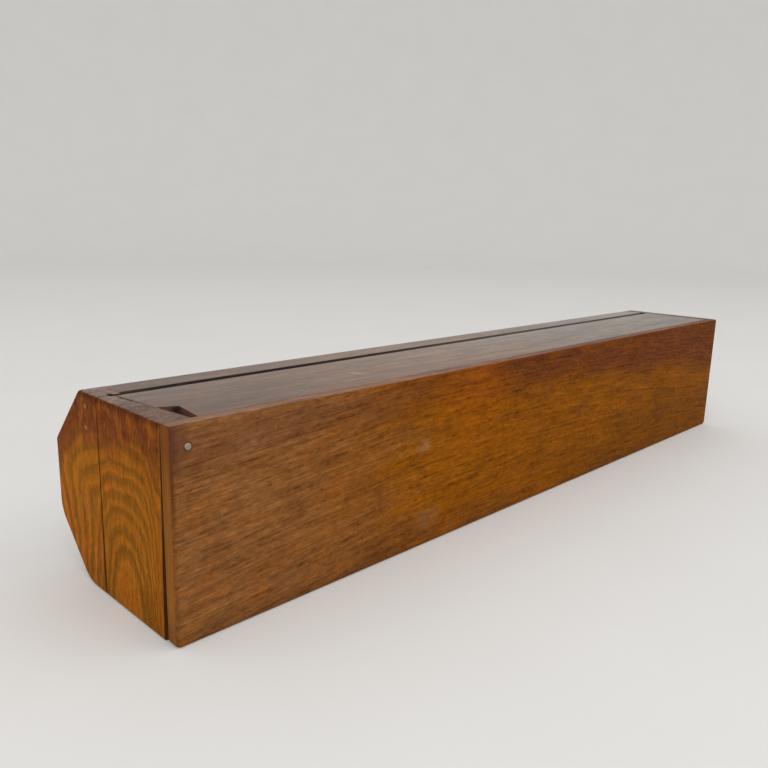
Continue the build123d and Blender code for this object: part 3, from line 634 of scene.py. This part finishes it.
def end_wood(name, outer_x, seed):
    """An end board sawn so that its rings show as nested arches, with its fibres along Z."""
    g = Graph(name)
    moved = g.vector("ADD", g.object, seed)
    point = g.split(moved)
    depth = g.less(point[1], front_side)
    radius = arch_radius(g, point, depth, outer_x + seed[0])
    grain = Grain(g, moved, "z", thread=4.0, streak=12.0)
    colour = end_tones(g, grain, radius, point, depth, outer_x, seed)
    colour = grain.draw(colour, threads=1.0, streaks=1.0, mottling=1.0, pores=0.4)
    flecks = g.noise(g.place(g.object, fleck_size, seed), detail=1.0)
    colour = g.mix(g.band(flecks, 0.62, 0.72, 0.0, 0.30), colour, fibre_pale)
    if outer_x == end_side:
        for place, size in end_specks:
            mark = spot(g, g.object, end_point(end_side, *place), size)
            colour = g.mix(g.times(mark, 0.7), colour, rubbed_pale)
    # Painted shade: a dark band just under the rounded top edge.
    under_edge_shade = g.band(g.split(g.object)[2], *below_top(2.2, 0.5), 0.0, 0.5)
    colour = g.mix(under_edge_shade, colour, pore_dark_and_shade)
    colour = slit_end_dirt(g, colour)
    # Painted shade on the faces that look to the front or inwards, into the gaps behind the cover and
    # between the boards.
    faces = g.split(g.facing)
    colour = g.mix(g.band(faces[1], -0.6, -0.9, 0.0, 0.75), colour, recess_shade)
    inside = g.times(faces[0], -1.0 if outer_x == head_side else 1.0)
    colour = g.mix(g.band(inside, 0.6, 0.9, 0.0, 0.6), colour, recess_shade)
    return wood_surface(g, colour, grain, end_dust_and_sheen, film_colour=dust_and_sheen_pale, crack=joint_line(g))


# The cracked glue line: its width, how it wanders, and where behind the front it opens
joint_width = in_mm(0.8, 0.2)
joint_sway_size = in_mm(1.5, 1.5, 1.5)
joint_sway = 1.4 * mm
joint_open_depth = in_mm(19, 23)
joint_break_size = in_mm(5, 5, 5)
joint_break_shift = in_mm(3, 0, 0)


def joint_line(g):
    """The cracked glue line on the upper side where the left wall meets the base block at a slant."""
    wall_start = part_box("left_side_wall")[0].x
    x, y, z = g.split(g.object)
    slope = (wall_start - base_high.x) / (base_high.y - base_low.y)
    line_x = g.plus(g.times(g.less(y, base_low.y), slope), base_high.x)
    off = g.plus(g.less(x, line_x), swayed(g, g.object, joint_sway_size, joint_sway))
    broken = g.noise(g.place(g.object, joint_break_size, joint_break_shift), detail=2.0)
    opened = g.band(g.less(y, front_side), *joint_open_depth, 0.15, 1.0)
    line = g.times(g.band(g.math("ABSOLUTE", off), *joint_width), opened)
    on_top = g.band(z, *below_top(1.0, 0.5))
    before_slit = g.band(y, slit_middle, slit_middle - 1 * mm)
    return g.times(line, g.times(on_top, before_slit), g.band(broken, 0.35, 0.55, 0.4, 0.9))


# Long boards: how their fibres sway, and the size of their broad clouds
board_sway_size = in_mm(70, 40, 40)
board_sway = 3 * mm
board_cloud_size = in_mm(70, 9, 9)

# Walls beside the slit: half of its width, where it runs out by the base, where its painted shade silts up
# with dust, where the wall is painted darker by the base, and its leaning streaks
slit_half = 1.6 * mm
slit_margin = 0.15 * mm
slit_run_out = (9, 16)
slit_silting = (60, 200)
wall_shade_end = (0, 110)
streak_lean = 0.06
wall_streak_size = in_mm(40, 2.4, 2.4)
wall_gloss = 0.75
wall_sheen = 0.05
wall_rough = 0.32

# Left wall: where a scratch lies from the base and the front, and how far it leans back towards the base
scratch_place = in_mm(70.4, 16)
scratch_slant = 0.39
scratch_size = in_mm(0.9, 4.2, 1)

# Left wall: how far the notch reaches from the base and the front, and the painted shade in its inner
# corner
notch_length = (13, 12)
notch_depth = (17.5, 17)
notch_corner_shade = (10.3, 14.3, 0.9)
notch_corner_shade_size = in_mm(2, 2, 2)

# Walls beside the slit: dust with painted sheen at the base end and at the head, the slit's painted shade,
# and which has the notch
slit_walls = {
    "left_side_wall": {"dust": (0.10, 0.98), "slit_shade": recess_shade, "notched": True},
    "rear_left_stave": {"dust": (0.0, 0.84), "slit_shade": joint_dirt_and_shade, "notched": False},
}


def long_grain(name, seed, thin, tones):
    """The bare colour of a board with its fibres along X, in four tones."""
    g = Graph(name)
    moved = g.vector("ADD", g.object, seed)
    x, y, z = g.split(moved)
    sway = swayed(g, moved, board_sway_size, board_sway)
    bent = g.join(x, g.plus(y, sway), g.plus(z, sway))
    grain = Grain(g, bent, "x", thin=thin)
    broad = g.noise(g.place(bent, board_cloud_size), detail=4.0, roughness=0.6)
    colour = g.ramp(broad, tuple(zip(tone_places, tones)))
    return g, grain, grain.draw(colour)


def plain_wall(name, seed, thin, tones=wall_tones):
    g, grain, colour = long_grain(name, seed, thin, tones)
    return wood_surface(g, colour, grain, plain_dust_and_sheen, gloss=0.1)


def slit_wall(name, seed, dust, slit_shade, notched):
    """A wall beside the slit, with painted shade on its sawn face, paler in the run-out and dusty by the
    head.
    """
    g, grain, colour = long_grain(name, seed, "z", wall_tones)
    x, y, z = g.split(g.object)
    from_middle = g.math("ABSOLUTE", g.less(y, slit_middle))
    in_slit = g.band(from_middle, slit_half + slit_margin, slit_half)
    run_out = g.band(x, *from_base(*slit_run_out), 0.45, 0.97)
    # Painted shade: the wall is darker towards the base end.
    colour = g.scale(colour, g.band(x, *from_base(*wall_shade_end), 0.5, 1.0))
    leaning = g.join(x, g.plus(y, g.times(x, streak_lean)), z)
    coarse = g.noise(g.place(leaning, wall_streak_size), detail=3.0, roughness=0.65)
    colour = g.scale(colour, g.band(coarse, 0.32, 0.68, 0.5, 1.35))
    # Painted shade down in the slit, giving way to real dust towards the head.
    shade_and_dust = g.mix(g.band(x, *from_base(*slit_silting), 0.0, 0.6), slit_shade, dust_and_sheen_grey)
    colour = g.mix(g.times(in_slit, run_out), colour, shade_and_dust)
    scratch = None
    if notched:
        colour = notch_dirt(g, colour)
        scratch = wall_scratch(g)
    return wood_surface(
        g, colour, grain, dust,
        gloss=wall_gloss, sheen=wall_sheen, rough=wall_rough, crack=joint_line(g), scratch=scratch,
    )


def wall_scratch(g):
    """A pale scratch across the upper side of the middle leaf, at a slant to its length."""
    x, y, z = g.split(g.object)
    centre_x = end_side + scratch_place[0]
    centre_y = front_side + scratch_place[1]
    slanted = g.plus(x, g.times(g.less(y, centre_y), scratch_slant))
    mark = spot(g, g.join(slanted, y, z), (centre_x, centre_y, top_side), scratch_size)
    return g.times(mark, 0.6)


def notch_dirt(g, colour):
    """The notch beside the base block, its sides painted reddish and darker as shade, darkest towards its
    floor and inner corner.
    """
    x, y, z = g.split(g.object)
    beside = g.band(x, *from_base(*notch_length))
    before = g.band(y, *from_front(*notch_depth))
    sideways = g.band(g.split(g.facing)[2], 0.8, 0.5)
    side = g.times(beside, before, sideways)
    deep = g.band(z, *below_top(0.6, 2.6), 0.0, 0.9)
    colour = g.mix(g.times(side, 0.8), colour, recess_side_shade)
    colour = g.mix(g.times(side, deep), colour, joint_dirt_and_shade)
    length, depth, drop = notch_corner_shade
    centre = (*from_base(length), *from_front(depth), *below_top(drop))
    corner = spot(g, g.object, centre, notch_corner_shade_size)
    return g.mix(g.times(corner, sideways), colour, g.scale(joint_dirt_and_shade, 0.4))


# Metals

brass_tint = srgb(206, 168, 96)
brass_tarnish = srgb(160, 120, 60)
steel_tint = srgb(196, 192, 184)
steel_tarnish = srgb(164, 156, 146)
pin_tint = srgb(164, 148, 128)
pin_tarnish = srgb(96, 74, 54)
blue_tint = srgb(74, 84, 120)
blue_tarnish = srgb(52, 50, 66)
silver_tint = srgb(226, 222, 208)
silver_tarnish = srgb(206, 198, 176)
ferrite_dark = (0.045, 0.045, 0.05)
ferrite_light = (0.10, 0.10, 0.11)

brass_rough = 0.24
turned_rough = 0.22
steel_rough = 0.26
spring_rough = 0.24
plate_rough = 0.36
pin_rough = 0.38

brush_size = in_mm(8, 0.1, 0.1)
lathe_size = (0.12 * mm, 0.12 * mm, 1.0)
tool_mark_depth = 0.006 * mm
tarnish_size = in_mm(14, 14, 14)
tarnish_speck_size = in_mm(1.1, 1.1, 1.1)
grit_size = in_mm(0.25, 0.25, 0.25)
grit_depth = 0.02 * mm

turned_nodes = (
    "pivot_nut", "mainspring_barrel", "barrel_cap", "great_wheel", "intermediate_wheel", "escape_wheel",
    "pendulum_hub", "pendulum_bob", "winding_knob",
)


def brushed_metal(name, tint, tarnished, rough):
    """Metal with a straight brushed finish along X and spots of tarnish."""
    g = Graph(name)
    brushed = g.noise(g.place(g.object, brush_size), detail=2.0)
    return metal_surface(g, tint, tarnished, rough, brushed)


def turned_metal(name, node, tint, tarnished, rough):
    """Metal with the fine rings of a lathe around a node's own axis along Y."""
    g = Graph(name)
    first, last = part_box(node)
    middle = (first + last) / 2
    x, y, z = g.split(g.vector("SUBTRACT", g.object, tuple(middle)))
    radius = g.math("SQRT", g.plus(g.math("POWER", x, 2.0), g.math("POWER", z, 2.0)))
    brushed = g.noise(g.place(g.join(radius, y, 0.0), lathe_size), detail=2.0)
    return metal_surface(g, tint, tarnished, rough, brushed)


def metal_surface(g, tint, tarnished, rough, brushed):
    """A metal with its tooling lines, a faint cloud of tarnish and small darker specks."""
    cloud = g.noise(g.place(g.object, tarnish_size), detail=3.0)
    specks = g.noise(g.place(g.object, tarnish_speck_size), detail=3.0, roughness=0.6)
    colour = g.mix(g.band(cloud, 0.3, 0.8, 0.0, 0.45), tint, tarnished)
    colour = g.mix(g.band(specks, 0.62, 0.78, 0.0, 0.6), colour, tarnished)
    colour = g.mix(g.band(brushed, 0.40, 0.75, 0.0, 0.3), colour, tarnished)
    worn = g.band(cloud, 0.3, 0.75, rough, rough + 0.12)
    roughness = g.plus(worn, g.times(brushed, 0.1))
    return g.finish(colour, roughness, g.bump(brushed, tool_mark_depth), Metallic=1.0)


def ferrite():
    g = Graph("ferrite")
    grit = g.noise(g.place(g.object, grit_size), detail=3.0)
    colour = g.mix(grit, ferrite_dark, ferrite_light)
    return g.finish(colour, g.band(grit, 0.3, 0.7, 0.5, 0.75), g.bump(grit, grit_depth))


# Finishes: one for each CAD node, where each long board is cut from its own place in the timber

timber_step = (0.37, 0.11, 0.05)
lying_walls = ("right_side_wall", "rear_right_stave")

shared_metal = {
    "brass": brushed_metal("brushed_brass", brass_tint, brass_tarnish, brass_rough),
    "steel": brushed_metal("dull_steel", steel_tint, steel_tarnish, steel_rough),
    "spring_steel": brushed_metal("blued_spring", blue_tint, blue_tarnish, spring_rough),
    "scale_plate": brushed_metal("silvered_plate", silver_tint, silver_tarnish, plate_rough),
}


def wood_for(node, order):
    """The wood of a CAD node. The two boards of an end share one figure."""
    name = "rosewood_" + node
    seed = tuple(step * order for step in timber_step)
    if node == "front_cover":
        return cover_wood()
    if node in ("base_block", "rear_base_end"):
        return end_wood(name, end_side, (0, 0, 0))
    if node in ("head_block", "rear_head_end"):
        return end_wood(name, head_side, head_figure_shift)
    if node in slit_walls:
        return slit_wall(name, seed, **slit_walls[node])
    if node == "dial_board":
        return plain_wall("walnut_veneer", seed, "y", veneer_tones)
    return plain_wall(name, seed, "z" if node in lying_walls else "y")


def finish_for(node, slot, order):
    """The material of a CAD node, by its slot in the record and by how it was made."""
    if slot in ("rosewood", "board_veneer"):
        return wood_for(node, order)
    if node in turned_nodes:
        return turned_metal("turned_brass_" + node, node, brass_tint, brass_tarnish, turned_rough)
    if node == "pivot_pin":
        return brushed_metal("worn_pin_steel", pin_tint, pin_tarnish, pin_rough)
    if slot == "magnet":
        return ferrite()
    return shared_metal[slot]


for order, subpart in enumerate(frame["record"]["subparts"]):
    mesh = frame["nodes"][subpart["node"]].data
    mesh.materials.clear()
    mesh.materials.append(finish_for(subpart["node"], subpart["material_slot"], order))


# Markings: the marked tempos, how far from the pendulum's axis the scale begins and how long it is,
# the ticks, the numbers, the line on the sliding weight and the ink

tempo_marks = (
    *range(40, 60, 2), *range(60, 72, 3), *range(72, 120, 4), *range(120, 144, 6), *range(144, 209, 8),
)
tempo_far = 115 * mm
tempo_span = 80 * mm
tick_inner = 7.0 * mm
tick_outer = 9.4 * mm
tick_width = 0.28 * mm
number_gap = 0.5 * mm
number_size = 2.5 * mm
print_height = 0.05 * mm
index_half = 3.6 * mm
index_tip = 4.3 * mm
index_thin = 0.2 * mm
ink_black = (0.012, 0.011, 0.010)
ink_worn = (0.06, 0.055, 0.045)
ink_wear_size = in_mm(0.6, 0.6, 0.6)
ink_wear_depth = 0.005 * mm


def ink():
    g = Graph("printing_ink")
    wear = g.noise(g.place(g.object, ink_wear_size), detail=4.0)
    colour = g.mix(g.band(wear, 0.45, 0.75), ink_black, ink_worn)
    return g.finish(colour, g.band(wear, 0.3, 0.7, 0.4, 0.6), g.bump(wear, ink_wear_depth))


def prism(shape, outline, y_front, y_back):
    """A flat piece with an outline in X and Z, from its front to its back."""
    front = [shape.verts.new((x, y_front, z)) for x, z in outline]
    back = [shape.verts.new((x, y_back, z)) for x, z in outline]
    shape.faces.new(front)
    shape.faces.new(reversed(back))
    for i in range(len(outline)):
        j = (i + 1) % len(outline)
        shape.faces.new((front[j], front[i], back[i], back[j]))


def number_mesh(text, align):
    curve = bpy.data.curves.new("number", "FONT")
    curve.body = text
    curve.size = number_size
    curve.extrude = print_height / 2
    curve.resolution_u = 3
    curve.align_x = align
    curve.align_y = "CENTER"
    holder = bpy.data.objects.new("number", curve)
    bpy.context.scene.collection.objects.link(holder)
    bpy.context.view_layer.update()
    solid = holder.evaluated_get(bpy.context.evaluated_depsgraph_get())
    mesh = bpy.data.meshes.new_from_object(solid)
    bpy.data.objects.remove(holder)
    bpy.data.curves.remove(curve)
    return mesh


def add_piece(name, shape, body, material):
    bmesh.ops.recalc_face_normals(shape, faces=shape.faces)
    mesh = bpy.data.meshes.new(name)
    shape.to_mesh(mesh)
    shape.free()
    mesh.materials.append(material)
    piece = bpy.data.objects.new(name, mesh)
    bpy.context.scene.collection.objects.link(piece)
    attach(piece, body)


def tempo_markings(material):
    """Tick lines and numbers on both sides of the rod, to be read while the case stands on its base."""
    first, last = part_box("pendulum_arbor")
    pivot_x = (first.x + last.x) / 2
    middle_z = (scale_low.z + scale_high.z) / 2
    face_y = scale_low.y
    half = tick_width / 2
    upright = Matrix(((0, 1, 0), (0, 0, -1), (-1, 0, 0))).to_4x4()
    shape = bmesh.new()
    for order, tempo in enumerate(tempo_marks):
        share = math.log(tempo / tempo_marks[0]) / math.log(tempo_marks[-1] / tempo_marks[0])
        x = pivot_x + tempo_far - tempo_span * share
        side = 1 if order % 2 == 0 else -1
        inner = middle_z + side * tick_inner
        outer = middle_z + side * tick_outer
        corners = [(x - half, inner), (x + half, inner), (x + half, outer), (x - half, outer)]
        prism(shape, corners, face_y - print_height, face_y + print_height / 2)
        number = number_mesh(str(tempo), "RIGHT" if side == 1 else "LEFT")
        number_z = middle_z + side * (tick_outer + number_gap)
        number.transform(Matrix.Translation((x, face_y - print_height / 4, number_z)) @ upright)
        shape.from_mesh(number)
        bpy.data.meshes.remove(number)
    add_piece("tempo_markings", shape, "case", material)


def weight_index(material):
    """The line across the sliding weight that is set to a tempo."""
    middle = (weight_low + weight_high) / 2
    outline = [
        (middle.x, middle.z - index_tip),
        (middle.x + index_thin, middle.z - index_half),
        (middle.x + index_thin, middle.z + index_half),
        (middle.x, middle.z + index_tip),
        (middle.x - index_thin, middle.z + index_half),
        (middle.x - index_thin, middle.z - index_half),
    ]
    shape = bmesh.new()
    prism(shape, outline, weight_low.y - print_height, weight_low.y + print_height)
    add_piece("weight_index", shape, "weight", material)


print_ink = ink()
tempo_markings(print_ink)
weight_index(print_ink)


# Studio: a round paper floor, two weak large lamps, an even white world and the photograph's camera

paper_shade = (0.78, 0.77, 0.75)
paper_light = (0.82, 0.81, 0.79)
paper_speckle_size = in_mm(60, 60, 60)
floor_reach = 1.3
bend_radius = 0.6
wall_top = 0.9
backdrop_sides = 96
backdrop_steps = 12

lamp_aim = (0, 0, 0.02)
lamp_size = (1.0, 1.0)
key_place = (-0.75, -0.55, 0.75)
key_power = 5.2
fill_place = (0.5, -0.9, 0.6)
fill_power = 2.4
world_strength = 0.70

# The camera is measured from the near end, the front face and the floor
camera_past_end = 76.4 * mm
camera_before_front = 140.0 * mm
camera_height = 98.1 * mm
camera_lens = 34.72
camera_sensor = 36.0
camera_clip_start = 0.01
camera_pitch = math.radians(12.552)
camera_roll = math.radians(1.42)
camera_yaw = math.radians(45.452)


def studio_paper():
    g = Graph("studio_paper")
    speckle = g.noise(g.place(g.object, paper_speckle_size), detail=3.0)
    return g.finish(g.mix(speckle, paper_shade, paper_light), 0.8)


def backdrop():
    """A round floor that curves up into a low wall on all sides."""
    bends = [math.pi / 2 * step / backdrop_steps for step in range(backdrop_steps + 1)]
    profile = []
    for turn in bends:
        reach = floor_reach + bend_radius * math.sin(turn)
        rise = bend_radius - bend_radius * math.cos(turn)
        profile.append((reach, rise))
    profile.append((floor_reach + bend_radius, wall_top))
    turns = [2 * math.pi * side / backdrop_sides for side in range(backdrop_sides)]
    corners = [(reach * math.cos(t), reach * math.sin(t), rise) for reach, rise in profile for t in turns]
    faces = [tuple(range(backdrop_sides))]
    for ring in range(len(profile) - 1):
        inner = ring * backdrop_sides
        outer = inner + backdrop_sides
        for i in range(backdrop_sides):
            j = (i + 1) % backdrop_sides
            faces.append((outer + i, outer + j, inner + j, inner + i))
    mesh = bpy.data.meshes.new("backdrop")
    mesh.from_pydata(corners, [], faces)
    mesh.polygons.foreach_set("use_smooth", [True] * len(faces))
    mesh.materials.append(studio_paper())
    floor = bpy.data.objects.new("backdrop", mesh)
    bpy.context.scene.collection.objects.link(floor)


def area_light(name, place, power):
    light = bpy.data.lights.new(name, "AREA")
    light.shape = "RECTANGLE"
    light.size, light.size_y = lamp_size
    light.energy = power
    lamp = bpy.data.objects.new(name, light)
    lamp.location = place
    lamp.rotation_euler = (Vector(lamp_aim) - Vector(place)).to_track_quat("-Z", "Y").to_euler()
    bpy.context.scene.collection.objects.link(lamp)


def world_light(strength):
    world = bpy.data.worlds.new("studio")
    world.use_nodes = True
    background = world.node_tree.nodes["Background"]
    background.inputs["Color"].default_value = (1, 1, 1, 1)
    background.inputs["Strength"].default_value = strength
    bpy.context.scene.world = world


def photo_camera():
    ahead = Vector((math.sin(camera_yaw), math.cos(camera_yaw), 0))
    right = Vector((math.cos(camera_yaw), -math.sin(camera_yaw), 0))
    upward = Vector((0, 0, 1))
    forward = math.cos(camera_pitch) * ahead - math.sin(camera_pitch) * upward
    above = math.sin(camera_pitch) * ahead + math.cos(camera_pitch) * upward
    tilted_right = math.cos(camera_roll) * right + math.sin(camera_roll) * above
    tilted_up = math.cos(camera_roll) * above - math.sin(camera_roll) * right
    data = bpy.data.cameras.new("photo_camera")
    data.lens = camera_lens
    data.sensor_width = camera_sensor
    data.sensor_fit = "HORIZONTAL"
    data.clip_start = camera_clip_start
    camera = bpy.data.objects.new("photo_camera", data)
    turn = Matrix((tilted_right, tilted_up, -forward)).transposed().to_4x4()
    stand = Vector((low.x - camera_past_end, cover_low.y - camera_before_front, camera_height))
    camera.matrix_world = Matrix.Translation(stand) @ turn
    bpy.context.scene.collection.objects.link(camera)
    bpy.context.scene.camera = camera


backdrop()
area_light("key", key_place, key_power)
area_light("fill", fill_place, fill_power)
world_light(world_strength)
photo_camera()
bpy.context.scene.view_settings.view_transform = "Standard"
